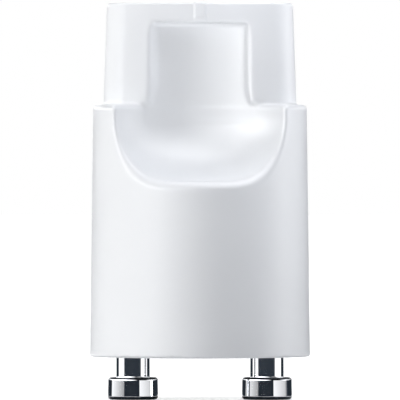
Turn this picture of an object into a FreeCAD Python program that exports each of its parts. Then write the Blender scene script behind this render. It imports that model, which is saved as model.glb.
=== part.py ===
"""Fused dummy starter for an LED tube: a moulded white cap with a finger grip on two T-headed contact pins.

Millimetres, +Z up. The origin lies on the axis, level with the flat ends of the pins. The pins stand along X and
the thumb scoops face -Y and +Y.
"""
import FreeCAD, Part
import math
import os

from FreeCAD import Vector

os.makedirs("parts", exist_ok=True)

# Contact pins
pin_pitch = 12.7
pin_head_diameter = 4.76
pin_head_height = 2.1
pin_head_round = 0.35
pin_head_top_break = 0.1
pin_shank_diameter = 3.16
pin_neck_length = 2.0
pin_stem_diameter = 2.2
rivet_head_diameter = 3.3
rivet_head_height = 0.7
rivet_head_round = 0.56

# Base plate
plate_recess = 0.3
plate_thickness = 2.0
plate_boss_diameter = 5.2
plate_boss_height = 1.2
plate_edge_clearance = 0.05
stem_clearance = 0.02
snap_bead_height = 0.2
snap_bead_width = 0.6
snap_clearance = 0.05

# Housing body, drawn round the pins and a little narrower at the ledge
rim_beyond_pin = 4.1
body_draft = 0.33
body_height = 23.85
body_wall = 1.3
plate_shoulder = 0.35
ledge_round = 0.4

# Finger grip
grip_height = 9.64
ledge_width = 0.98
grip_side_draft = 0.33
grip_thickness_at_ledge = 7.8
grip_face_draft = 0.15
grip_crown_radius = 27.0
grip_corner_radius = 1.9
grip_top_round = 0.8

# Thumb scoops and the channels above them
web_thickness = 3.2
scoop_side_margin = 2.06
scoop_depth_below_ledge = 7.1
scoop_floor_round = 6.2
scoop_lip_round = 0.7
grip_wing_width = 4.44
channel_top_bar = 1.85
channel_floor_round = 1.3
core_wall = 1.3
side_tolerance = 0.001

# Rib over the top bar
rib_width = 1.05
rib_height = 0.11

# Solder tags
tag_thickness = 0.4
tag_ring_diameter = 4.4
tag_lug_width = 2.4
tag_lug_height = 4.2
tag_lug_offset = 1.85
tag_lead_clearance = 0.05

# Fuse
fuse_length = 10.0
fuse_cap_diameter = 3.6
fuse_cap_length = 2.5
fuse_cap_wall = 0.15
fuse_glass_wall = 0.5
fuse_glass_clearance = 0.02
fuse_wire_diameter = 0.2
fuse_solder_thickness = 0.3
fuse_lead_diameter = 0.6
fuse_lead_past_tag = 0.3
fuse_gap_over_rivet = 0.4
lead_solder_diameter = 1.6
lead_solder_length = 0.7
lead_solder_tip_thickness = 0.05

# Widths worked out from the sizes above
rim_diameter = pin_pitch + 2 * rim_beyond_pin
ledge_diameter = rim_diameter - 2 * body_draft
grip_width_at_ledge = ledge_diameter - 2 * ledge_width
grip_width_at_top = grip_width_at_ledge - 2 * grip_side_draft
grip_thickness_at_top = grip_thickness_at_ledge - 2 * grip_face_draft
scoop_width = ledge_diameter - 2 * scoop_side_margin
channel_width = grip_width_at_ledge - 2 * grip_wing_width

# Levels and places worked out from the sizes above
rim_z = pin_head_height + pin_neck_length
ledge_z = rim_z + body_height
top_z = ledge_z + grip_height
plate_bottom_z = rim_z + plate_recess
plate_top_z = plate_bottom_z + plate_thickness
boss_top_z = plate_top_z + plate_boss_height
tag_top_z = boss_top_z + tag_thickness
rivet_top_z = tag_top_z + rivet_head_height
fuse_z = rivet_top_z + fuse_gap_over_rivet + fuse_cap_diameter / 2
channel_top_z = top_z - channel_top_bar
scoop_bottom_z = ledge_z - scoop_depth_below_ledge
lug_x = pin_pitch / 2 + tag_lug_offset
sides = {"left": -1, "right": 1}


def body_radius(z):
    """Outer radius of the drafted body at height z."""
    share = (z - rim_z) / body_height
    return rim_diameter / 2 + (ledge_diameter - rim_diameter) / 2 * share


def turned(points):
    """Solid of revolution about Z from a closed list of (radius, height) corners."""
    corners = [Vector(r, 0, z) for r, z in points]
    face = Part.Face(Part.makePolygon(corners + corners[:1]))
    return face.revolve(Vector(0, 0, 0), Vector(0, 0, 1), 360)


def circle_edges(shape, radius, z):
    """Circular edges of the given radius that lie at height z."""
    found = []
    for edge in shape.Edges:
        curve = edge.Curve
        if isinstance(curve, Part.Circle) and abs(curve.Radius - radius) < 1e-6:
            if abs(curve.Center.z - z) < 1e-6:
                found.append(edge)
    return found


def grip_outline(z, half_width, half_thickness, corner):
    """Slab section at height z: gently crowned faces, flat sides and round corners, all tangent."""
    crown_y = grip_crown_radius - half_thickness
    reach = grip_crown_radius - corner
    corner_x = half_width - corner
    corner_y = crown_y - math.sqrt(reach ** 2 - corner_x ** 2)
    crown_centre = Vector(0, crown_y, z)
    centre = Vector(corner_x, corner_y, z)
    along = (centre - crown_centre).normalize()
    on_crown = crown_centre + along * grip_crown_radius
    diagonal = (along + Vector(1, 0, 0)).normalize()
    on_corner = centre + diagonal * corner
    on_side = Vector(half_width, corner_y, z)
    face = Vector(0, -half_thickness, z)

    def place(point, x_sign, y_sign):
        return Vector(point.x * x_sign, point.y * y_sign, z)

    def corner_arc(x_sign, y_sign):
        return Part.Arc(place(on_crown, x_sign, y_sign), place(on_corner, x_sign, y_sign),
                        place(on_side, x_sign, y_sign)).toShape()

    def crown_arc(y_sign):
        return Part.Arc(place(on_crown, -1, y_sign), place(face, 1, y_sign), place(on_crown, 1, y_sign)).toShape()

    def side_line(x_sign):
        return Part.makeLine(place(on_side, x_sign, 1), place(on_side, x_sign, -1))

    edges = [crown_arc(1), corner_arc(1, 1), side_line(1), corner_arc(1, -1),
             crown_arc(-1), corner_arc(-1, -1), side_line(-1), corner_arc(-1, 1)]
    return Part.Wire(Part.__sortEdges__(edges))


def grip_slab(inset, bottom_z, slab_top_z):
    """Drafted slab of the grip between two heights, with every side moved in by inset."""
    def half_sizes(z):
        share = (z - ledge_z) / grip_height
        width = grip_width_at_ledge + (grip_width_at_top - grip_width_at_ledge) * share
        thickness = grip_thickness_at_ledge + (grip_thickness_at_top - grip_thickness_at_ledge) * share
        return width / 2 - inset, thickness / 2 - inset

    corner = grip_corner_radius - inset
    wires = [grip_outline(z, *half_sizes(z), corner) for z in (bottom_z, slab_top_z)]
    return Part.makeLoft(wires, True, True)


def scoop_radius():
    """Radius of the scoop's upright wall, through the web's face and the scoop's two upright edges."""
    edge_y = math.sqrt((ledge_diameter / 2) ** 2 - (scoop_width / 2) ** 2)
    sagitta = edge_y - web_thickness / 2
    return ((scoop_width / 2) ** 2 + sagitta ** 2) / (2 * sagitta)


def scoop_column(grow, bottom_z, column_top_z):
    """Upright round column on the -Y side, whose back face is the scoop's wall, made larger by grow."""
    radius = scoop_radius()
    centre = Vector(0, -(web_thickness / 2 + radius), bottom_z)
    return Part.makeCylinder(radius + grow, column_top_z - bottom_z, centre)


def scoop_tool(grow):
    """Cutting shape of one thumb scoop: the column with its floor edge rounded."""
    column = scoop_column(grow, scoop_bottom_z - grow, ledge_z)
    floor = circle_edges(column, scoop_radius() + grow, scoop_bottom_z - grow)
    return column.makeFillet(scoop_floor_round + grow, floor)


def channel_tool():
    """Cutting shape of the channel above one scoop: the same column between two upright sides."""
    column = scoop_column(0, ledge_z, channel_top_z)
    depth = grip_thickness_at_ledge
    box = Part.makeBox(channel_width, depth, channel_top_z - ledge_z,
                       Vector(-channel_width / 2, -web_thickness / 2 - depth, ledge_z))
    tool = column.common(box)
    floor_edges = []
    for edge in tool.Edges:
        box_of_edge = edge.BoundBox
        upright = box_of_edge.ZLength > box_of_edge.XLength + box_of_edge.YLength
        near_floor = box_of_edge.YMax > -grip_thickness_at_ledge / 2
        top_arc = box_of_edge.ZMin > channel_top_z - 1e-6 and box_of_edge.XLength > channel_width / 2
        if near_floor and (upright or top_arc):
            floor_edges.append(edge)
    return tool.makeFillet(channel_floor_round, floor_edges)


def turned_round(shape):
    """Copy of a shape, turned half a turn about Z to the other side."""
    copy = shape.copy()
    copy.rotate(Vector(0, 0, 0), Vector(0, 0, 1), 180)
    return copy


def cut_both_sides(shape, tool):
    """Cuts a tool and its half-turned copy from a shape."""
    return shape.cut([tool, turned_round(tool)])


def rib():
    """Low rib that runs up the front of the top bar, over the top and down the back."""
    share = (channel_top_z - ledge_z) / grip_height
    thickness_below = grip_thickness_at_ledge + (grip_thickness_at_top - grip_thickness_at_ledge) * share
    half_below = thickness_below / 2 + rib_height
    half_above = grip_thickness_at_top / 2 + rib_height
    corners = [(-half_below, channel_top_z), (half_below, channel_top_z),
               (half_above, top_z + rib_height), (-half_above, top_z + rib_height)]
    points = [Vector(-rib_width / 2, y, z) for y, z in corners]
    face = Part.Face(Part.makePolygon(points + points[:1]))
    solid = face.extrude(Vector(rib_width, 0, 0))
    over_top = [edge for edge in solid.Edges
                if edge.BoundBox.ZMin > top_z and edge.BoundBox.XLength > rib_width / 2]
    return solid.makeFillet(grip_top_round, over_top)


def edges_on_body_side(body, low_z, high_z):
    """Edges on the drafted side of the body whose lowest point lies between two heights."""
    found = []
    for edge in body.Edges:
        points = edge.discretize(5)
        lowest = min(point.z for point in points)
        off_side = max(abs(math.hypot(point.x, point.y) - body_radius(point.z)) for point in points)
        if off_side < side_tolerance and low_z - side_tolerance < lowest < high_z + side_tolerance:
            found.append(edge)
    return found


def housing_outside():
    """Outer form of the cap, still without its hollow."""
    body = Part.makeCone(rim_diameter / 2, ledge_diameter / 2, body_height, Vector(0, 0, rim_z))
    body = cut_both_sides(body, scoop_tool(0))
    lips = edges_on_body_side(body, scoop_bottom_z, ledge_z - ledge_round)
    body = body.makeFillet(scoop_lip_round, lips)
    body = body.makeFillet(ledge_round, edges_on_body_side(body, ledge_z, ledge_z))
    grip = grip_slab(0, ledge_z, top_z)
    top_edges = [edge for edge in grip.Edges if edge.BoundBox.ZMin > top_z - 1e-6]
    grip = grip.makeFillet(grip_top_round, top_edges)
    grip = cut_both_sides(grip, channel_tool())
    return body.fuse([grip, rib()]).removeSplitter()


def bore_radius():
    """Radius of the seat that the base plate snaps into."""
    return body_radius(plate_top_z) - body_wall + plate_shoulder


def snap_z():
    """Height of the middle of the snap bead."""
    return plate_bottom_z + plate_thickness / 2


def housing_hollow():
    """Everything that is empty inside the cap: the plate's seat, the chamber and a core up each side."""
    seat = Part.makeCylinder(bore_radius(), plate_top_z - rim_z, Vector(0, 0, rim_z))
    reach = snap_bead_height + snap_clearance
    half = snap_bead_width / 2 + snap_clearance
    groove = turned([(bore_radius() - reach, snap_z() - half - reach), (bore_radius() + reach, snap_z() - half + reach),
                     (bore_radius() + reach, snap_z() + half - reach), (bore_radius() - reach, snap_z() + half + reach)])
    chamber_top_z = ledge_z - body_wall
    chamber = Part.makeCone(body_radius(plate_top_z) - body_wall, body_radius(chamber_top_z) - body_wall,
                            chamber_top_z - plate_top_z, Vector(0, 0, plate_top_z))
    cores = grip_slab(body_wall, chamber_top_z - body_wall, top_z - body_wall)
    upper = chamber.fuse(cores)
    around_scoop = scoop_tool(core_wall)
    around_channel = scoop_column(core_wall, ledge_z, top_z)
    upper = upper.cut([around_scoop, turned_round(around_scoop), around_channel, turned_round(around_channel)])
    web_depth = rim_diameter
    web_bottom_z = scoop_bottom_z - core_wall
    web = Part.makeBox(channel_width, web_depth, top_z - web_bottom_z,
                       Vector(-channel_width / 2, -web_depth / 2, web_bottom_z))
    upper = upper.cut(web)
    return seat.fuse([groove, upper])


def housing():
    """The white cap: one hollow moulding."""
    return housing_outside().cut(housing_hollow())


def base_plate():
    """Disc that closes the rim, with a snap bead, two bosses and two holes for the pins."""
    radius = bore_radius() - plate_edge_clearance
    disc = Part.makeCylinder(radius, plate_thickness, Vector(0, 0, plate_bottom_z))
    half = snap_bead_width / 2
    bead = turned([(radius - snap_bead_height, snap_z() - half - snap_bead_height),
                   (radius + snap_bead_height, snap_z() - half + snap_bead_height),
                   (radius + snap_bead_height, snap_z() + half - snap_bead_height),
                   (radius - snap_bead_height, snap_z() + half + snap_bead_height)])
    plate = disc.fuse(bead)
    for sign in sides.values():
        centre = Vector(sign * pin_pitch / 2, 0, plate_bottom_z)
        height = plate_thickness + plate_boss_height
        plate = plate.fuse(Part.makeCylinder(plate_boss_diameter / 2, height, centre))
        plate = plate.cut(Part.makeCylinder(pin_stem_diameter / 2 + stem_clearance, height, centre))
    return plate.removeSplitter()


def contact_pin(sign):
    """Turned pin: broad head, shank up to the plate, stem through it and a riveted end."""
    head = Part.makeCylinder(pin_head_diameter / 2, pin_head_height)
    head = head.makeFillet(pin_head_round, circle_edges(head, pin_head_diameter / 2, 0))
    head = head.makeFillet(pin_head_top_break, circle_edges(head, pin_head_diameter / 2, pin_head_height))
    shank = Part.makeCylinder(pin_shank_diameter / 2, plate_bottom_z)
    stem = Part.makeCylinder(pin_stem_diameter / 2, tag_top_z)
    rivet = Part.makeCylinder(rivet_head_diameter / 2, rivet_head_height, Vector(0, 0, tag_top_z))
    rivet = rivet.makeFillet(rivet_head_round, circle_edges(rivet, rivet_head_diameter / 2, rivet_top_z))
    pin = head.fuse([shank, stem, rivet]).removeSplitter()
    pin.translate(Vector(sign * pin_pitch / 2, 0, 0))
    return pin


def solder_tag(sign):
    """Stamped tag: a flat ring under the rivet, with a lug bent up at its outer side."""
    centre_x = pin_pitch / 2
    ring = Part.makeCylinder(tag_ring_diameter / 2, tag_thickness, Vector(centre_x, 0, boss_top_z))
    lug = Part.makeBox(tag_thickness, tag_lug_width, tag_lug_height,
                       Vector(lug_x - tag_thickness / 2, -tag_lug_width / 2, boss_top_z))
    lug_top_z = boss_top_z + tag_lug_height
    top_corners = [edge for edge in lug.Edges
                   if edge.BoundBox.ZMin > lug_top_z - 1e-6 and edge.BoundBox.XLength > tag_thickness / 2]
    lug = lug.makeFillet(tag_lug_width / 4, top_corners)
    tag = ring.fuse(lug)
    stem_hole = Part.makeCylinder(pin_stem_diameter / 2 + stem_clearance, tag_thickness,
                                  Vector(centre_x, 0, boss_top_z))
    lead_hole = Part.makeCylinder(fuse_lead_diameter / 2 + tag_lead_clearance, tag_thickness,
                                  Vector(lug_x - tag_thickness / 2, 0, fuse_z), Vector(1, 0, 0))
    tag = tag.cut([stem_hole, lead_hole]).removeSplitter()
    return on_side(tag, sign)


def on_side(shape, sign):
    """A shape made for the right side, or its mirror image for the left."""
    if sign > 0:
        return shape
    return shape.mirror(Vector(0, 0, 0), Vector(1, 0, 0))


def rod_along_x(diameter, start_x, end_x):
    """Round rod on the fuse's axis between two places along X."""
    return Part.makeCylinder(diameter / 2, end_x - start_x, Vector(start_x, 0, fuse_z), Vector(1, 0, 0))


def fuse_glass_diameter():
    """Outer diameter of the glass, which slides into the caps."""
    return fuse_cap_diameter - 2 * fuse_cap_wall - 2 * fuse_glass_clearance


def fuse_inner_end():
    """How far from the middle the inside of each cap's end wall lies."""
    return fuse_length / 2 - fuse_cap_wall


def fuse_glass_tube():
    """Glass tube of the fuse, from cap end to cap end."""
    end = fuse_inner_end() - fuse_solder_thickness
    bore = fuse_glass_diameter() - 2 * fuse_glass_wall
    return rod_along_x(fuse_glass_diameter(), -end, end).cut(rod_along_x(bore, -end, end))


def fuse_cap(sign):
    """Drawn metal cap pushed over one end of the glass."""
    start = fuse_length / 2 - fuse_cap_length
    cap = rod_along_x(fuse_cap_diameter, start, fuse_length / 2)
    cap = cap.makeFillet(fuse_cap_wall, [edge for edge in cap.Edges
                                         if abs(edge.BoundBox.XMin - fuse_length / 2) < 1e-6])
    hollow = rod_along_x(fuse_cap_diameter - 2 * fuse_cap_wall, start, fuse_inner_end())
    return on_side(cap.cut(hollow), sign)


def fuse_cap_solder(sign):
    """Drop of solder in the bottom of a cap, which holds the melting wire."""
    disc = rod_along_x(fuse_cap_diameter - 2 * fuse_cap_wall, fuse_inner_end() - fuse_solder_thickness,
                       fuse_inner_end())
    return on_side(disc, sign)


def fuse_wire():
    """Melting wire, from solder to solder."""
    end = fuse_inner_end() - fuse_solder_thickness
    return rod_along_x(fuse_wire_diameter, -end, end)


def fuse_lead(sign):
    """Lead welded to the end of a cap and passed through the tag's lug."""
    end = lug_x + tag_thickness / 2 + fuse_lead_past_tag
    return on_side(rod_along_x(fuse_lead_diameter, fuse_length / 2, end), sign)


def lead_solder(sign):
    """Cone of solder round the lead, against the inner face of the lug."""
    face_x = lug_x - tag_thickness / 2
    cone = Part.makeCone(fuse_lead_diameter / 2 + lead_solder_tip_thickness, lead_solder_diameter / 2,
                         lead_solder_length,
                         Vector(face_x - lead_solder_length, 0, fuse_z), Vector(1, 0, 0))
    lead = rod_along_x(fuse_lead_diameter, face_x - lead_solder_length, face_x)
    return on_side(cone.cut(lead), sign)


nodes = {
    "housing": housing(),
    "base_plate": base_plate(),
    "fuse_glass_tube": fuse_glass_tube(),
    "fuse_wire": fuse_wire(),
}
for side, sign in sides.items():
    nodes["contact_pin_" + side] = contact_pin(sign)
    nodes["solder_tag_" + side] = solder_tag(sign)
    nodes["fuse_cap_" + side] = fuse_cap(sign)
    nodes["fuse_cap_solder_" + side] = fuse_cap_solder(sign)
    nodes["fuse_lead_" + side] = fuse_lead(sign)
    nodes["lead_solder_" + side] = lead_solder(sign)

for name, shape in nodes.items():
    shape.exportStep("parts/" + name + ".step")
    print(name, len(shape.Solids), round(shape.Volume, 3), shape.isValid())
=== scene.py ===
import math

import bpy
import numpy as np
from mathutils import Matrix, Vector


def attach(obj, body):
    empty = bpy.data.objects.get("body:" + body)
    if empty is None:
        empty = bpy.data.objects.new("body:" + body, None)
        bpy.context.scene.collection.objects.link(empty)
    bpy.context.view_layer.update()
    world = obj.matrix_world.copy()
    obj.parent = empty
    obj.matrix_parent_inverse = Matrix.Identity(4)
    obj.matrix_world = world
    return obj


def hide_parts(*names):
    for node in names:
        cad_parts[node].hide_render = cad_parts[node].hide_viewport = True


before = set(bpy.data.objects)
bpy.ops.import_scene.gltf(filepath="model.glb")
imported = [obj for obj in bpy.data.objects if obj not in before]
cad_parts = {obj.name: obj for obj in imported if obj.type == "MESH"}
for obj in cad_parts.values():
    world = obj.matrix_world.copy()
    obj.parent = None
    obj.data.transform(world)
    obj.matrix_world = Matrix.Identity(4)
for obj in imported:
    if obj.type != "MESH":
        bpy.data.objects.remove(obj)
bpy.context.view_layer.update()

MM = 0.001

# Housing: the white cap is one hollow polycarbonate moulding with a satin gloss and softly rounded edges.
# A thumb scoop front and back runs up into a channel between the two wings of the finger grip, and a low rib
# crosses the top bar. The base plate snaps into a groove inside its rim.

# Millimetres, with heights above the table. The grip's pairs hold for the ledge and for the top, and a pair of
# rounds changes between the two places in the pair beside it.
RIM_Z, LEDGE_Z, TOP_Z = 4.1, 27.95, 37.59
RIM_RADIUS, LEDGE_RADIUS = 10.44, 10.12
GRIP_HALF_WIDTH = (9.14, 8.81)
GRIP_HALF_THICKNESS = (3.9, 3.75)
GRIP_CROWN_RADIUS = 27.0
GRIP_CORNER_RADIUS = 1.9
GRIP_TOP_ROUND, GRIP_TOP_ROUND_X = (0.12, 0.35), (7.6, 8.6)
WEB_HALF = 1.6
SCOOP_HALF_WIDTH = 8.06
SCOOP_BOTTOM_Z = 20.85
SCOOP_FLOOR_ROUND = 6.2
CHANNEL_HALF_WIDTH = 4.7
CHANNEL_TOP_Z = 35.74
CHANNEL_FLOOR_ROUND, CHANNEL_FLOOR_ROUND_Z = (0.15, 0.95), (LEDGE_Z - 0.7, LEDGE_Z + 2.1)
CHANNEL_EDGE_ROUND, CHANNEL_EDGE_ROUND_Z = (0.5, 0.2), (CHANNEL_TOP_Z - 1.2, CHANNEL_TOP_Z - 0.3)
CHANNEL_TOP_ROUND = 0.45
RIB_HALF_WIDTH, RIB_HEIGHT, RIB_EDGE_ROUND, RIB_FILLET = 0.525, 0.11, 0.08, 0.06
RIB_FOOT_Z = CHANNEL_TOP_Z + 0.3
RIM_ROUND, LEDGE_ROUND, GRIP_ROOT_ROUND = 0.15, 0.4, 0.15
GRIP_ROOT_DEPTH, GRIP_FOOT_ROUND = 2.0, 0.1
LIP_ROUND, LIP_ROUND_Z = (0.4, 1.0), (24.5, SCOOP_BOTTOM_Z)
WALL = 1.3
PLATE_TOP_Z = 6.4
BORE_RADIUS = 9.468
CHAMBER_TOP_Z = LEDGE_Z - WALL
SNAP_Z, SNAP_HALF, SNAP_REACH = 5.4, 0.35, 0.25
SCOOP_EDGE_Y = math.sqrt(LEDGE_RADIUS ** 2 - SCOOP_HALF_WIDTH ** 2)
SCOOP_SAGITTA = SCOOP_EDGE_Y - WEB_HALF
SCOOP_RADIUS = (SCOOP_HALF_WIDTH ** 2 + SCOOP_SAGITTA ** 2) / (2 * SCOOP_SAGITTA)


def rounded_max(a, b, r):
    """Overlap of two distance fields, with the edge where they meet rounded to radius r:
    the larger of the two, moved out to a quarter circle where both lie within r of zero."""
    corner = np.hypot(np.maximum(a + r, 0.0), np.maximum(b + r, 0.0))
    return np.minimum(-r, np.maximum(a, b)) + corner


def rounded_min(a, b, r):
    """Union of two distance fields with a fillet of radius r: the mirror image of rounded_max."""
    return -rounded_max(-a, -b, r)


def along_height(z, pair, low, high):
    """Straight-line change of a size from its value at the low level to its value at the high one."""
    return pair[0] + (pair[1] - pair[0]) * (z - low) / (high - low)


def grip_crown(x, side, z, inset):
    """Distance to the crowned faces of the grip, which are arcs of GRIP_CROWN_RADIUS moved in by inset."""
    half_thickness = along_height(z, GRIP_HALF_THICKNESS, LEDGE_Z, TOP_Z) - inset
    return np.hypot(x, side + GRIP_CROWN_RADIUS - half_thickness) - GRIP_CROWN_RADIUS


def changing_round(place, pair, places, smooth):
    """Radius that changes from the first of the pair to the second between two places: at an even rate, or
    with smooth ends by the share squared times three less twice the share."""
    share = np.clip((place - places[0]) / (places[1] - places[0]), 0.0, 1.0)
    return pair[0] + (pair[1] - pair[0]) * (share * share * (3 - 2 * share) if smooth else share)


def scoop_shape(x, side, z, grow):
    """Distance to a scoop: an upright column in front of the web, with a rounded floor, larger by grow."""
    column = np.hypot(x, side - WEB_HALF - SCOOP_RADIUS) - SCOOP_RADIUS - grow
    return rounded_max(column, SCOOP_BOTTOM_Z - grow - z, SCOOP_FLOOR_ROUND + grow)


def housing_outside(x, side, z):
    """Outer form: the drafted body below the ledge less its scoops, joined to the crowned grip above the
    ledge less its channels, plus the rib over the top. The scoop's lip is sharper up its sides than at the
    bottom, the channel's floor runs out sharp at the ledge, and its edge gets sharper towards its top."""
    across = np.abs(x)
    body = np.hypot(x, side) - along_height(z, (RIM_RADIUS, LEDGE_RADIUS), RIM_Z, LEDGE_Z)
    body = rounded_max(body, RIM_Z - z, RIM_ROUND)
    body = rounded_max(body, z - LEDGE_Z, LEDGE_ROUND)
    crown = grip_crown(x, side, z, 0.0)
    half_width = along_height(z, GRIP_HALF_WIDTH, LEDGE_Z, TOP_Z)
    grip = rounded_max(crown, across - half_width, GRIP_CORNER_RADIUS)
    grip = rounded_max(grip, z - TOP_Z, changing_round(across, GRIP_TOP_ROUND, GRIP_TOP_ROUND_X, False))
    grip = rounded_max(grip, LEDGE_Z - GRIP_ROOT_DEPTH - z, GRIP_FOOT_ROUND)
    scoop = scoop_shape(x, side, z, 0.0)
    body = rounded_max(body, -scoop, changing_round(z, LIP_ROUND, LIP_ROUND_Z, True))
    between_wings = rounded_min(across - CHANNEL_HALF_WIDTH, z - LEDGE_Z, CHANNEL_EDGE_ROUND[0])
    floor_round = changing_round(z, CHANNEL_FLOOR_ROUND, CHANNEL_FLOOR_ROUND_Z, True)
    channel = rounded_max(scoop, between_wings, floor_round)
    channel = rounded_max(channel, z - CHANNEL_TOP_Z, CHANNEL_TOP_ROUND)
    edge_round = changing_round(z, CHANNEL_EDGE_ROUND, CHANNEL_EDGE_ROUND_Z, False)
    grip = rounded_max(grip, -channel, edge_round)
    over_top = rounded_max(crown, z - TOP_Z, GRIP_TOP_ROUND[0]) - RIB_HEIGHT
    rib = rounded_max(across - RIB_HALF_WIDTH, over_top, RIB_EDGE_ROUND)
    grip = rounded_min(grip, np.maximum(rib, RIB_FOOT_Z - z), RIB_FILLET)
    return rounded_min(body, grip, GRIP_ROOT_ROUND)


def housing_hollow(x, side, z):
    """Empty inside: the base plate's seat with its snap groove, the chamber, and a core up into each wing,
    which keep clear of the scoops and of the web between them."""
    across, radius = np.abs(x), np.hypot(x, side)
    seat = np.maximum(radius - BORE_RADIUS, z - PLATE_TOP_Z)
    groove = (np.abs(z - SNAP_Z) + radius - BORE_RADIUS - SNAP_HALF) / math.sqrt(2)
    groove = np.maximum(groove, radius - BORE_RADIUS - SNAP_REACH)
    chamber_radius = along_height(z, (RIM_RADIUS, LEDGE_RADIUS), RIM_Z, LEDGE_Z) - WALL
    chamber = np.maximum(radius - chamber_radius, z - CHAMBER_TOP_Z)
    half_width = along_height(z, GRIP_HALF_WIDTH, LEDGE_Z, TOP_Z) - WALL
    core = rounded_max(grip_crown(x, side, z, WALL), across - half_width, GRIP_CORNER_RADIUS - WALL)
    core = np.maximum(core, np.maximum(z - TOP_Z + WALL, CHAMBER_TOP_Z - WALL - z))
    web = np.maximum(across - CHANNEL_HALF_WIDTH, SCOOP_BOTTOM_Z - WALL - z)
    upper = np.maximum(np.minimum(chamber, core), -scoop_shape(x, side, z, WALL))
    return np.minimum(np.minimum(seat, groove), np.maximum(upper, -web))


def housing_field(x, y, z):
    """Distance field of the whole moulding, negative in the plastic: the outer form less the hollow.
    Front and back are alike, so y enters by its size alone."""
    side = np.abs(y)
    return np.maximum(housing_outside(x, side, z), -housing_hollow(x, side, z))


def onto_field(points, field, steps):
    """Moves points onto a field's zero surface: each step goes back along the slope by value over slope, up
    to the longest step, where the slope comes from central differences over h."""
    h, longest, least_slope = 0.004, 0.2, 0.2
    for _ in range(steps):
        x, y, z = points
        value = field(x, y, z)
        slope = np.stack([field(x + h, y, z) - field(x - h, y, z),
                          field(x, y + h, z) - field(x, y - h, z),
                          field(x, y, z + h) - field(x, y, z - h)]) / (2 * h)
        size = np.maximum((slope ** 2).sum(axis=0), least_slope)
        points = points - slope * np.clip(value / size, -longest, longest)
    return points


def net_over_field(field, levels, rounds):
    """Closed quad net over a field's zero surface. Every cell of the grid given by the three lists of levels
    that holds both signs gets one point, the mean of the zero crossings on its edges. Every grid edge with a
    change of sign gets one quad, from the four cells round it. The net is then evened out: each point
    goes half way to the mean of the centres of its quads, and back onto the surface."""
    values = field(*np.meshgrid(*levels, indexing="ij"))
    cells = tuple(n - 1 for n in values.shape)
    total, count = np.zeros((3,) + cells), np.zeros(cells)
    crossed = []
    for axis in range(3):
        first = [slice(None)] * 3
        second = [slice(None)] * 3
        first[axis], second[axis] = slice(None, -1), slice(1, None)
        a, b = values[tuple(first)], values[tuple(second)]
        cross = (a < 0) != (b < 0)
        share = np.where(cross, a / np.where(cross, a - b, 1.0), 0.0)
        grid = np.meshgrid(*[lv[:-1] if k == axis else lv for k, lv in enumerate(levels)], indexing="ij")
        shape = [1, 1, 1]
        shape[axis] = -1
        grid[axis] = grid[axis] + share * np.diff(levels[axis]).reshape(shape)
        u, v = [k for k in range(3) if k != axis]
        for du in (0, 1):
            for dv in (0, 1):
                part = [slice(None)] * 3
                part[u] = slice(du, cells[u] + du)
                part[v] = slice(dv, cells[v] + dv)
                part = tuple(part)
                count += cross[part]
                for k in range(3):
                    total[k] += np.where(cross[part], grid[k][part], 0.0)
        crossed.append((cross, a < 0))
    used = count > 0
    number = np.full(cells, -1)
    number[used] = np.arange(used.sum())
    points = total[:, used] / count[used]
    quads = []
    for axis, (cross, low_inside) in enumerate(crossed):
        i, j, k = np.nonzero(cross)
        u, v = (axis + 1) % 3, (axis + 2) % 3
        at = np.stack([i, j, k])
        ring = []
        for du, dv in ((1, 1), (0, 1), (0, 0), (1, 0)):
            cell = at.copy()
            cell[u] -= du
            cell[v] -= dv
            ring.append(number[tuple(cell)])
        ring = np.stack(ring, axis=1)
        turn = ~low_inside[cross]
        ring[turn] = ring[turn][:, ::-1]
        quads.append(ring)
    quads = np.concatenate(quads)
    for _ in range(rounds):
        centre = points[:, quads].mean(axis=2)
        weight = np.bincount(quads.ravel(), minlength=points.shape[1])
        mean = np.stack([np.bincount(quads.ravel(), np.repeat(c, 4), points.shape[1]) for c in centre])
        mean = mean / weight
        points = onto_field(0.5 * points + 0.5 * mean, field, 2)
    return onto_field(points, field, 6), quads


def mesh_piece(name, points, faces):
    """Object from points in millimetres (3 x n) and a list or array of faces, at the origin, smooth."""
    mesh = bpy.data.meshes.new(name)
    mesh.from_pydata((points.T * MM).tolist(), [], faces.tolist() if isinstance(faces, np.ndarray) else faces)
    mesh.shade_smooth()
    piece = bpy.data.objects.new(name, mesh)
    bpy.context.scene.collection.objects.link(piece)
    return piece


def both_ways(half):
    """Levels on both sides of zero from the levels of one side."""
    return np.concatenate([-half[::-1], half])


# The net is finest across the rib, in the rim and at the top, and widest on the plain wall.
housing_levels = [
    both_ways(np.concatenate([np.arange(0.05, 0.9, 0.1), np.arange(1.05, 10.8, 0.2)])),
    both_ways(np.arange(0.1, 10.8, 0.2)),
    np.concatenate([np.arange(3.93, 6.7, 0.16), np.linspace(6.9, 19.3, 15), np.arange(19.5, 36.5, 0.2),
                    np.arange(36.61, 37.9, 0.11)]),
]
housing_points, housing_faces = net_over_field(housing_field, housing_levels, 3)
housing = mesh_piece("housing_shell", housing_points, housing_faces)
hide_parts("housing")
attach(housing, "root")


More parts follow.
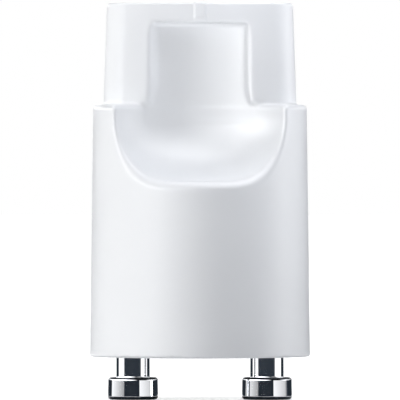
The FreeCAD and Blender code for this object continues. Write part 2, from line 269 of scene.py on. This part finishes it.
class Wire:
    """One output of a shader tree. Python's + - * / on wires and numbers add Math nodes, and node() adds any
    other node to the same tree: its settings first, then the values or wires of its sockets."""

    def __init__(self, socket):
        self.socket = socket

    def node(self, kind, settings, sockets, output=0):
        tree = self.socket.id_data
        made = tree.nodes.new(kind)
        for name, value in settings.items():
            setattr(made, name, value)
        for name, value in sockets.items():
            if isinstance(value, Wire):
                tree.links.new(value.socket, made.inputs[name])
            else:
                made.inputs[name].default_value = value
        return Wire(made.outputs[output]) if made.outputs else None

    def math(self, operation, *values):
        return self.node("ShaderNodeMath", {"operation": operation}, dict(enumerate(values)))

    def __add__(self, other):
        return self.math("ADD", self, other)

    __radd__ = __add__

    def __sub__(self, other):
        return self.math("SUBTRACT", self, other)

    def __rsub__(self, other):
        return self.math("SUBTRACT", other, self)

    def __mul__(self, other):
        return self.math("MULTIPLY", self, other)

    __rmul__ = __mul__

    def __truediv__(self, other):
        return self.math("DIVIDE", self, other)

    def step(self, start, end):
        """Smooth change from 0 where the wire is at start to 1 where it is at end."""
        return self.node("ShaderNodeMapRange", {"interpolation_type": "SMOOTHSTEP"},
                         {"Value": self, "From Min": start, "From Max": end, "To Min": 0.0, "To Max": 1.0})

    def ranged(self, low, high):
        """Number that goes from low, where the wire is 0, to high, where it is 1."""
        return low + self * (high - low)

    def mixed(self, low, high):
        """Colour that goes from low, where the wire is 0, to high, where it is 1."""
        return self.node("ShaderNodeMix", {"data_type": "RGBA"}, {"Factor": self, 6: low, 7: high}, 2)


def blank_finish(name):
    """New material with an empty tree, and the wire of the piece's own Object coordinates."""
    material = bpy.data.materials.new(name)
    material.use_nodes = True
    material.node_tree.nodes.clear()
    return material, Wire(material.node_tree.nodes.new("ShaderNodeTexCoord").outputs["Object"])


def grain(place, size, detail=2.0):
    """Cloudy noise from 0 to 1 whose spots are about size millimetres across."""
    return place.node("ShaderNodeTexNoise", {}, {"Vector": place, "Scale": 1 / (size * MM), "Detail": detail})


def bumps(height, depth, strength):
    """Normal that stands up by depth millimetres where the height wire is 1."""
    return height.node("ShaderNodeBump", {}, {"Height": height, "Distance": depth * MM, "Strength": strength})


def dress(place, sockets):
    """Ends a material with one Principled shader that has these values or wires on its sockets."""
    shader = place.node("ShaderNodeBsdfPrincipled", {}, sockets)
    place.node("ShaderNodeOutputMaterial", {}, {"Surface": shader})


white_plastic, place = blank_finish("white_polycarbonate")
cloud, texture = grain(place, 4.0), grain(place, 0.16)
dress(place, {
    "Base Color": cloud.mixed((0.85, 0.86, 0.872, 1), (0.868, 0.878, 0.888, 1)),
    "Roughness": 0.27 + cloud * 0.05 + texture * 0.04,
    "IOR": 1.58,
    "Normal": bumps(texture, 0.004, 0.3),
})
housing.data.materials.append(white_plastic)

# Contact pins: two turned brass pins with a bright nickel plate. The broad head locks behind the slots of the
# starter socket, the neck runs up to the base plate, and a thin stem goes through it and is riveted inside.
# The head's colour has a thin dark line painted round its foot and its top: a painted reflection of the dark
# of the room in its rounded edges.

PIN_X = 6.35
HEAD_RADIUS, HEAD_HEIGHT, HEAD_TAPER = 2.38, 2.1, 0.045
SHANK_RADIUS, STEM_RADIUS = 1.58, 1.1
PLATE_BOTTOM_Z, TAG_TOP_Z = 4.4, 8.0
RIVET_RADIUS, RIVET_HEIGHT = 1.65, 0.7
HEAD_FOOT_ROUND, HEAD_TOP_ROUND, SHANK_ROUND = 0.3, 0.2, 0.06
STEM_ROUND, RIVET_FOOT_ROUND, RIVET_ROUND = 0.04, 0.06, 0.5
# Heights and radii of the dark lines painted on the pin head as a painted reflection.
FOOT_LINE_Z, TOP_LINE_Z = (0.33 * MM, 0.27 * MM), ((HEAD_HEIGHT - 0.22) * MM, (HEAD_HEIGHT - 0.17) * MM)
LINE_END_Z = ((HEAD_HEIGHT + 0.1) * MM, (HEAD_HEIGHT + 0.05) * MM)
LINE_RADIUS = ((HEAD_RADIUS - 0.3) * MM, (HEAD_RADIUS - 0.22) * MM)
# Colour of the painted reflection on the head's rounded edges.
PAINTED_REFLECTION_DARK = (0.05, 0.055, 0.065, 1)
TURNING_RINGS = 14000.0


def rounded_profile(corners, steps=6):
    """Outline of a turned part as points (radius, height) from corners (radius, height, rounding). Each corner
    becomes an arc that touches both its runs, with one more point a little outside each end of the arc, so
    that the runs stay straight to the eye."""
    points = [np.array([corners[0][:2]], float)]
    for before, (r, z, rounding), after in zip(corners, corners[1:], corners[2:]):
        here = np.array([r, z], float)
        back, on = np.array(before[:2]) - here, np.array(after[:2]) - here
        back, on = back / np.hypot(*back), on / np.hypot(*on)
        half = math.acos(float(np.clip(back @ on, -1, 1))) / 2
        reach = rounding / math.tan(half)
        middle = here + (back + on) / np.hypot(*(back + on)) * rounding / math.sin(half)
        start, end = here + back * reach - middle, here + on * reach - middle
        turn = math.pi - 2 * half
        t = np.linspace(0, 1, steps)[:, None]
        arc = middle + (np.sin((1 - t) * turn) * start + np.sin(t * turn) * end) / math.sin(turn)
        outside = min(0.05, rounding)
        points += [here[None] + back * (reach + outside), arc, here[None] + on * (reach + outside)]
    points.append(np.array([corners[-1][:2]], float))
    return np.concatenate(points)


def turned_piece(name, corners, centre_x, columns=128):
    """Solid of revolution about an upright axis at x = centre_x: the rounded profile's points carried round
    the axis as rings, closed by one point at each end of the axis."""
    profile = rounded_profile(corners)
    a = np.arange(columns) / columns * 2 * math.pi
    r, z = profile[1:-1, :1], profile[1:-1, 1:]
    rings = np.stack([centre_x + r * np.cos(a), r * np.sin(a), z + 0 * a]).reshape(3, -1)
    ends = np.array([[centre_x, centre_x], [0, 0], [profile[0, 1], profile[-1, 1]]])
    index = np.arange(rings.shape[1]).reshape(-1, columns)
    ahead = np.roll(index, -1, axis=1)
    quads = np.stack([index[:-1], ahead[:-1], ahead[1:], index[1:]], axis=-1).reshape(-1, 4).tolist()
    bottom, top = rings.shape[1], rings.shape[1] + 1
    fans = [[bottom, q, p] for p, q in zip(index[0].tolist(), ahead[0].tolist())]
    fans += [[top, p, q] for p, q in zip(index[-1].tolist(), ahead[-1].tolist())]
    return mesh_piece(name, np.concatenate([rings, ends], axis=1), quads + fans)


nickel, place = blank_finish("nickel_plate")
across, depth, height = [place.node("ShaderNodeSeparateXYZ", {}, {"Vector": place}, k) for k in range(3)]
off_axis = across.math("ABSOLUTE", across) - PIN_X * MM
from_axis = across.math("SQRT", off_axis * off_axis + depth * depth)
# Painted reflection: the head's base colour turns dark in thin lines round its foot and top.
painted_dark_lines = (height.step(*FOOT_LINE_Z) + height.step(*TOP_LINE_Z)) * height.step(*LINE_END_Z)
painted_dark_lines = painted_dark_lines * from_axis.step(*LINE_RADIUS)
rings = place.node("ShaderNodeTexNoise", {"noise_dimensions": "1D"},
                   {"W": height, "Scale": TURNING_RINGS, "Detail": 2.0})
stain = grain(place, 1.3)
dress(place, {
    "Base Color": painted_dark_lines.mixed(stain.mixed((0.74, 0.75, 0.775, 1), (0.80, 0.81, 0.83, 1)), PAINTED_REFLECTION_DARK),
    "Metallic": 1.0,
    "Roughness": 0.018 + rings * 0.016 + stain * 0.012,
    "Normal": bumps(rings, 0.0005, 0.1),
})

pin_corners = [(0, 0, 0), (HEAD_RADIUS, 0, HEAD_FOOT_ROUND),
               (HEAD_RADIUS - HEAD_TAPER, HEAD_HEIGHT, HEAD_TOP_ROUND),
               (SHANK_RADIUS, HEAD_HEIGHT, SHANK_ROUND),
               (SHANK_RADIUS, PLATE_BOTTOM_Z, SHANK_ROUND), (STEM_RADIUS, PLATE_BOTTOM_Z, STEM_ROUND),
               (STEM_RADIUS, TAG_TOP_Z, STEM_ROUND), (RIVET_RADIUS, TAG_TOP_Z, RIVET_FOOT_ROUND),
               (RIVET_RADIUS, TAG_TOP_Z + RIVET_HEIGHT, RIVET_ROUND), (0, TAG_TOP_Z + RIVET_HEIGHT, 0)]
for side, sign in (("left", -1), ("right", 1)):
    pin = turned_piece("contact_pin_turned_" + side, pin_corners, sign * PIN_X)
    pin.data.materials.append(nickel)
    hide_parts("contact_pin_" + side)
    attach(pin, "root")

# Base plate: a moulded plastic disc. A bead round its edge snaps into the housing's groove, and two bosses
# carry the pins.


def redress(node, material):
    """Gives a CAD node its finish in every slot."""
    for material_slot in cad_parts[node].material_slots:
        material_slot.material = material


plate_plastic, place = blank_finish("plate_plastic")
cloud, texture = grain(place, 3.0), grain(place, 0.2)
dress(place, {
    "Base Color": cloud.mixed((0.70, 0.705, 0.70, 1), (0.74, 0.745, 0.74, 1)),
    "Roughness": 0.42 + texture * 0.12,
    "IOR": 1.55,
    "Normal": bumps(texture, 0.008, 0.4),
})
redress("base_plate", plate_plastic)

# Solder tags: stamped from thin brass and tinned, a flat ring under each rivet with a lug bent up beside it.

tinned_brass, place = blank_finish("tinned_brass")
cloud, texture = grain(place, 0.9), grain(place, 0.12, 4.0)
dress(place, {
    "Base Color": cloud.step(0.45, 0.7).mixed((0.72, 0.72, 0.71, 1), (0.78, 0.74, 0.64, 1)),
    "Metallic": 1.0,
    "Roughness": 0.28 + texture * 0.2,
    "Normal": bumps(texture, 0.006, 0.3),
})
for side in ("left", "right"):
    redress("solder_tag_" + side, tinned_brass)

# Fuse: a clear glass tube with a thin melting wire, closed by two drawn metal caps. Solder in each cap
# holds the wire, and a tinned copper lead on each cap is soldered to its tag.

fuse_glass, place = blank_finish("fuse_glass")
smear = grain(place, 0.8)
dress(place, {
    "Base Color": smear.mixed((0.96, 0.985, 0.975, 1), (0.985, 0.995, 0.99, 1)),
    "Roughness": 0.02 + smear * 0.04,
    "IOR": 1.5,
    "Transmission Weight": 1.0,
})
redress("fuse_glass_tube", fuse_glass)

cap_metal, place = blank_finish("fuse_cap_metal")
cloud, drawn = grain(place, 0.7), grain(place, 0.1, 3.0)
dress(place, {
    "Base Color": cloud.mixed((0.70, 0.69, 0.67, 1), (0.77, 0.765, 0.75, 1)),
    "Metallic": 1.0,
    "Roughness": 0.2 + drawn * 0.16,
    "Normal": bumps(drawn, 0.004, 0.25),
})

tinned_copper, place = blank_finish("tinned_copper")
cloud, drawn = grain(place, 0.6), grain(place, 0.08, 3.0)
dress(place, {
    "Base Color": cloud.step(0.5, 0.75).mixed((0.74, 0.74, 0.735, 1), (0.78, 0.68, 0.58, 1)),
    "Metallic": 1.0,
    "Roughness": 0.22 + drawn * 0.15,
    "Normal": bumps(drawn, 0.003, 0.25),
})
redress("fuse_wire", tinned_copper)

solder, place = blank_finish("solder")
cloud, frost = grain(place, 0.5), grain(place, 0.06, 4.0)
dress(place, {
    "Base Color": cloud.mixed((0.62, 0.625, 0.63, 1), (0.72, 0.725, 0.73, 1)),
    "Metallic": 1.0,
    "Roughness": 0.3 + frost * 0.2,
    "Normal": bumps(frost, 0.006, 0.35),
})
for side in ("left", "right"):
    redress("fuse_cap_" + side, cap_metal)
    redress("fuse_cap_solder_" + side, solder)
    redress("fuse_lead_" + side, tinned_copper)
    redress("lead_solder_" + side, solder)

# Floor: the pale table that the pin heads stand on. The camera sees it glow as white as the background, a
# little less round the starter, whose soft shadow it keeps. In what mirrors it, the table shows near the
# starter, and the room shows through it farther out.

FLOOR_HALF = 1.5
TABLE_COLOUR, WHITE = (0.85, 0.85, 0.85, 1), (1, 1, 1, 1)
GLOW_NEAR, GLOW_RISE = 0.62, (0.05, 0.25)
MIRRORED_OUT_TO = (0.02, 0.03)

corners = [(x * FLOOR_HALF, y * FLOOR_HALF, 0) for x, y in ((-1, -1), (1, -1), (1, 1), (-1, 1))]
floor_mesh = bpy.data.meshes.new("floor")
floor_mesh.from_pydata(corners, [], [(0, 1, 2, 3)])
floor = bpy.data.objects.new("floor", floor_mesh)
bpy.context.scene.collection.objects.link(floor)


def ray_kinds(tree):
    """Wires that are 1 on the camera's own rays, on mirrored rays and on rays that passed through glass."""
    path = tree.nodes.new("ShaderNodeLightPath")
    return [Wire(path.outputs[name]) for name in ("Is Camera Ray", "Is Glossy Ray", "Is Transmission Ray")]


pale_floor, place = blank_finish("pale_floor")
seen, mirrored = ray_kinds(pale_floor.node_tree)[:2]
distance = place.node("ShaderNodeVectorMath", {"operation": "LENGTH"}, {0: place}, 1)
glow_strength = seen * distance.step(*GLOW_RISE).ranged(GLOW_NEAR, 1.0)
cleared = mirrored * distance.step(*MIRRORED_OUT_TO)
matt = place.node("ShaderNodeBsdfDiffuse", {}, {"Color": TABLE_COLOUR})
glow = place.node("ShaderNodeEmission", {}, {"Color": WHITE, "Strength": glow_strength})
lit = place.node("ShaderNodeAddShader", {}, {0: matt, 1: glow})
clear = place.node("ShaderNodeBsdfTransparent", {}, {"Color": WHITE})
both = place.node("ShaderNodeMixShader", {}, {"Fac": cleared, 1: lit, 2: clear})
place.node("ShaderNodeOutputMaterial", {}, {"Surface": both})
floor_mesh.materials.append(pale_floor)

# Camera: level with the upper part of the starter and far away, as the photograph was taken.

EYE, AIM = Vector((0, -1.24, 0.032)), Vector((0, 0, 0.01892))
FRAME_WIDTH = 37.93 * MM
SENSOR_WIDTH = 36
lens = bpy.data.cameras.new("camera")
lens.sensor_width = SENSOR_WIDTH
lens.lens = SENSOR_WIDTH * abs(EYE.y) / FRAME_WIDTH
lens.clip_end = 20
camera = bpy.data.objects.new("camera", lens)
camera.location = EYE
camera.rotation_euler = (AIM - EYE).to_track_quat("-Z", "Y").to_euler()
bpy.context.scene.collection.objects.link(camera)
bpy.context.scene.camera = camera

# World: the white room. A narrow ring round the horizon is what the polished pins mirror: a dark camera side
# between two white screens, and the dark behind them. Over and under it are what the satin plastic mirrors: a
# broad window on each side, a ceiling and the ground.

# The ring. Heights are sines of the elevation, and directions are degrees round from the camera's side that
# grow to the right. A screen is given by where it starts and ends and by the widths over which its ends fade,
# below the split and above it. Its light is given for direction 0, with the fall per degree.
RING_FOOT, RING_TOP, RING_SPLIT = (-0.048, -0.040), (0.044, 0.036), (-0.018, -0.006)
RING_DARK, RING_DARK_ABOVE, DARK_TINT = 0.042, 0.030, (0.80, 1.0, 1.28, 1)
LEFT_SCREEN, LEFT_SCREEN_ABOVE = (-118.0, -62.0, 5.0, 3.0), (-118.0, -40.0, 5.0, 3.0)
RIGHT_SCREEN, RIGHT_SCREEN_ABOVE = (51.0, 115.0, 12.0, 3.0), (29.0, 112.0, 3.0, 22.0)
LEFT_LIGHT, LEFT_LIGHT_ABOVE, LEFT_FALL = 0.395, -0.105, 0.0125
RIGHT_LIGHT, RIGHT_FALL_ABOVE = 1.5, 0.0085
SCREEN_TINT_OFF = (0.0, 0.3)

# The rest of the room. A window is given by the direction where it starts, its rise per degree, the direction
# where it ends and its fall per degree. A pair of heights or directions holds the ends of a soft change.
LEFT_WINDOW, RIGHT_WINDOW = (-188.0, 0.0725, 21.0, 0.14), (62.0, 0.125, 180.0, 0.053)
WINDOW_TOP, WINDOW_TOP_BEHIND, WINDOW_FADE, WINDOW_FADE_BEHIND = 0.88, 0.48, 0.6, 0.3
WINDOW_FOOT = (-0.35, -0.15)
CEILING, CEILING_LEFT, CEILING_FADE = 4.3, 3.0, (0.4, 0.95)
BACK_LIGHT, BACK_LIGHT_FOOT, BACK_LIGHT_TOP = 1.3, (0.5, 0.7), (1.0, 0.9)
GROUND, GROUND_FADE, DEEP_GROUND, DEEP_GROUND_FADE = 1.2, (-0.15, -0.35), 4.5, (-0.5, -0.7)
BEHIND, LEFT_MIDDLE, LEFT_SECTOR = (70.0, 110.0), -90.0, (70.0, 30.0)
OWN_LIGHT = 0.03


def screen(around, start, end, soft_start, soft_end):
    """1 between two directions, with a soft change of its own width inside each end."""
    return (around - start).step(0.0, soft_start) * (end - around).step(0.0, soft_end)


def window(around, start, rise, end, fall):
    """Light that rises at an even rate from its start and falls at an even rate to its end."""
    return around.math("MINIMUM", (around - start) * rise, (end - around) * fall)


world = bpy.data.worlds.new("room")
world.use_nodes = True
world.node_tree.nodes.clear()
seen, mirrored, through = ray_kinds(world.node_tree)
direction = Wire(world.node_tree.nodes.new("ShaderNodeTexCoord").outputs["Generated"])
x, y, height = [direction.node("ShaderNodeSeparateXYZ", {}, {"Vector": direction}, k) for k in range(3)]
around = x.math("ARCTAN2", x, y * -1.0) / math.radians(1)

raised = height.step(*RING_SPLIT)
left = screen(around, *[raised.ranged(*pair) for pair in zip(LEFT_SCREEN, LEFT_SCREEN_ABOVE)])
left = left * (raised.ranged(LEFT_LIGHT, LEFT_LIGHT_ABOVE) - around * LEFT_FALL)
right = screen(around, *[raised.ranged(*pair) for pair in zip(RIGHT_SCREEN, RIGHT_SCREEN_ABOVE)])
right = right * (RIGHT_LIGHT - around * raised * RIGHT_FALL_ABOVE)
screens = left + right
ring = height.step(*RING_FOOT) * height.step(*RING_TOP)
ring_light = raised.ranged(RING_DARK, RING_DARK_ABOVE) + screens

behind = around.math("ABSOLUTE", around).step(*BEHIND)
left_side = around.math("ABSOLUTE", around - LEFT_MIDDLE).step(*LEFT_SECTOR)
windows = around.math("MAXIMUM", window(around, *LEFT_WINDOW), window(around, *RIGHT_WINDOW))
windows = windows.math("MAXIMUM", windows, 0.0) * height.step(*WINDOW_FOOT)
below_top = behind.ranged(WINDOW_TOP, WINDOW_TOP_BEHIND) - height
windows = windows * below_top.step(0.0, behind.ranged(WINDOW_FADE, WINDOW_FADE_BEHIND))
ceiling = height.step(*CEILING_FADE) * left_side.ranged(CEILING, CEILING_LEFT)
back_light = behind * height.step(*BACK_LIGHT_FOOT) * height.step(*BACK_LIGHT_TOP) * BACK_LIGHT
ground = height.step(*GROUND_FADE) * GROUND + height.step(*DEEP_GROUND_FADE) * DEEP_GROUND
room_light = windows + ceiling + back_light + ground

tint = ring.mixed(WHITE, (seen + screens.step(*SCREEN_TINT_OFF)).mixed(DARK_TINT, WHITE))
mirror = ring * ring_light + (1.0 - ring) * room_light
strength = seen + through + mirrored * mirror + (1.0 - seen - mirrored - through) * OWN_LIGHT
room = seen.node("ShaderNodeBackground", {}, {"Color": tint, "Strength": strength})
seen.node("ShaderNodeOutputWorld", {}, {"Surface": room})
bpy.context.scene.world = world

# Lamps: soft panels round the starter, which neither the camera nor a mirror sees. Two sheets of light on the
# table stand for what it throws back, and a tiny panel close to the grip lights the right of its top bar.

FAR, NEAR = 0.7, 0.16
PLAIN, COOL = (1, 1, 1), (0.965, 0.985, 1.04)
SHEET_Z = 0.5 * MM
TOP_BAR_SPOT = Vector((4.3, -3.6, 36.6)) * MM


def panel(name, azimuth, elevation, size, watts, distance=FAR, colour=PLAIN, target=AIM):
    """Rectangular lamp that faces its target from a direction in degrees: azimuth 0 is the camera's side and
    grows to the right."""
    light = bpy.data.lights.new(name, "AREA")
    light.shape = "RECTANGLE"
    light.size, light.size_y = size
    light.energy, light.color = watts, colour
    lamp = bpy.data.objects.new(name, light)
    a, e = math.radians(azimuth), math.radians(elevation)
    toward = Vector((math.sin(a) * math.cos(e), -math.cos(a) * math.cos(e), math.sin(e)))
    lamp.location = target + toward * distance
    lamp.rotation_euler = toward.to_track_quat("Z", "Y").to_euler()
    lamp.visible_camera = False
    lamp.visible_glossy = False
    bpy.context.scene.collection.objects.link(lamp)
    return lamp


def table_glow(name, azimuth, distance, size, watts):
    """Sheet of light that lies on the table, faces up, and is centred at a direction and distance."""
    lamp = panel(name, azimuth, 0, size, watts, distance, COOL)
    lamp.location.z = SHEET_Z
    lamp.rotation_euler = (math.pi, 0, math.radians(azimuth))


panel("left_screen", -95, 14, (0.4, 0.2), 1.44)
panel("left_front_screen", -50, 14, (0.4, 0.2), 0.85)
panel("back_screen", 180, 38, (0.5, 0.3), 0.79)
panel("upper_right_screen", 60, 65, (0.5, 0.4), 0.75, colour=COOL)
panel("top_screen", 0, 88, (0.4, 0.4), 1.4, colour=COOL)
panel("near_lamp", 57, 51, (0.12, 0.12), 0.076, NEAR, COOL)
panel("grip_spot", 8.33, 6.2, (0.004, 0.004), 0.00011, 8.34 * MM, COOL, TOP_BAR_SPOT)
table_glow("front_table_glow", 0, 0.3, (0.6, 0.25), 0.7)
table_glow("right_table_glow", 80, 0.25, (0.4, 0.3), 0.84)

bpy.context.scene.view_settings.view_transform = "Standard"
